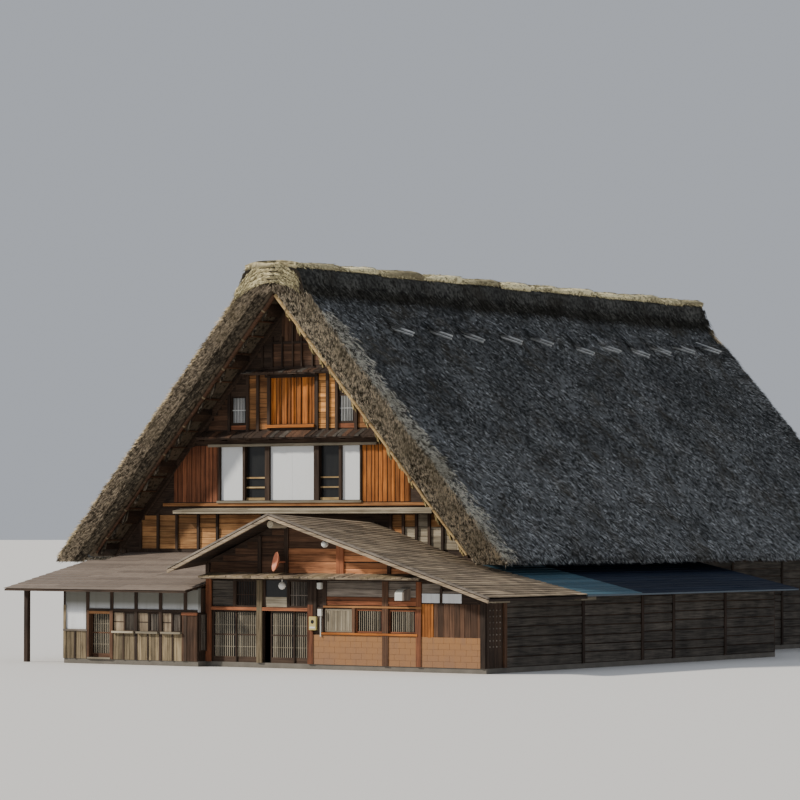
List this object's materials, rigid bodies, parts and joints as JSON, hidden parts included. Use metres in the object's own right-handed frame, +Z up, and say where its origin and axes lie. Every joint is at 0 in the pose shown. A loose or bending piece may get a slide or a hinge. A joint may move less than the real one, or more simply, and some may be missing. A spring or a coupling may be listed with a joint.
{
  "type": "minka farmhouse",
  "caption": "Steep thatched gable farmhouse with a gabled entrance lean-to, sliding lattice doors, a plastered wing and a low side aisle.",
  "frame": {"origin": "on the ground under the middle of the front gable wall's outer face", "axes": "+X to the right along the front gable, +Y back along the ridge, +Z up"},
  "size_m": [19.07, 28.2, 12.19],
  "materials": {
    "boards": "grey weathered boards, dull",
    "brownSheet": "brown painted sheet, dull",
    "darkTimber": "dark smoke-stained timber, dull",
    "dish": "faded orange paint",
    "paper": "white paper screens, matt",
    "plaster": "white lime plaster, matt",
    "sheet": "dark blue painted sheet, half gloss",
    "stone": "rough grey stone and packed earth, matt",
    "straw": "pale dry straw and bare poles, dull",
    "thatch": "weathered reed thatch, mossy, dull",
    "timber": "brown weathered boards and posts, dull",
    "white": "off-white paint, half gloss"
  },
  "bodies": {
    "house": {"aisle_end_wall": "boards", "aisle_roof": "sheet", "aisle_wall": "boards", "attic_floor": "darkTimber", "back_gable_screens": "paper", "back_gable_wall": "timber", "back_hatch": "timber", "back_pent_lower": "timber", "back_pent_middle": "timber", "back_pent_upper": "timber", "back_wall": "boards", "barge_pole_back_left": "straw", "barge_pole_back_right": "straw", "barge_pole_front_left": "straw", "barge_pole_front_right": "straw", "entrance_corner_post": "timber", "entrance_pent": "boards", "entrance_post": "timber", "entrance_roof_left": "boards", "entrance_roof_right": "boards", "entrance_screens": "paper", "entrance_side_wall": "timber", "entrance_upper_wall": "timber", "entrance_window_wall": "timber", "front_corner_wall": "plaster", "front_gable_screens": "paper", "front_gable_wall": "timber", "front_hatch": "timber", "front_pent_lower": "timber", "front_pent_middle": "timber", "front_pent_upper": "timber", "front_post_row": "darkTimber", "globe_lamp": "white", "ground_floor": "stone", "left_wall": "plaster", "left_wall_screen": "paper", "meter_box": "white", "rafters_left": "darkTimber", "rafters_right": "darkTimber", "ridge_cap": "straw", "right_post_row": "darkTimber", "right_wall_back": "boards", "satellite_dish": "dish", "thatch_left": "thatch", "thatch_right": "thatch", "upper_floor": "darkTimber", "vent_hood": "white", "wing_roof": "brownSheet", "wing_roof_post": "darkTimber", "wing_screen": "paper", "wing_side_wall": "plaster", "wing_upper_wall": "plaster", "wing_wall_left": "plaster", "wing_wall_right": "timber"},
    "door_leaf_1": {"door_leaf_1": "darkTimber"},
    "door_leaf_2": {"door_leaf_2": "darkTimber"},
    "door_leaf_3": {"door_leaf_3": "darkTimber"},
    "door_leaf_4": {"door_leaf_4": "darkTimber"},
    "wing_door": {"wing_door": "timber"}
  },
  "joints": [
    {"name": "door_leaf_1_slide", "type": "slide", "parent": "house", "child": "door_leaf_1", "axis": [1, 0, 0], "range_m": [0, 0.78]},
    {"name": "door_leaf_2_slide", "type": "slide", "parent": "house", "child": "door_leaf_2", "axis": [1, 0, 0], "range_m": [-0.78, 0]},
    {"name": "door_leaf_3_slide", "type": "slide", "parent": "house", "child": "door_leaf_3", "axis": [1, 0, 0], "range_m": [-0.25, 0.51]},
    {"name": "door_leaf_4_slide", "type": "slide", "parent": "house", "child": "door_leaf_4", "axis": [1, 0, 0], "range_m": [-0.77, 0]},
    {"name": "wing_door_slide", "type": "slide", "parent": "house", "child": "wing_door", "axis": [1, 0, 0], "range_m": [-0.76, 0]}
  ]
}
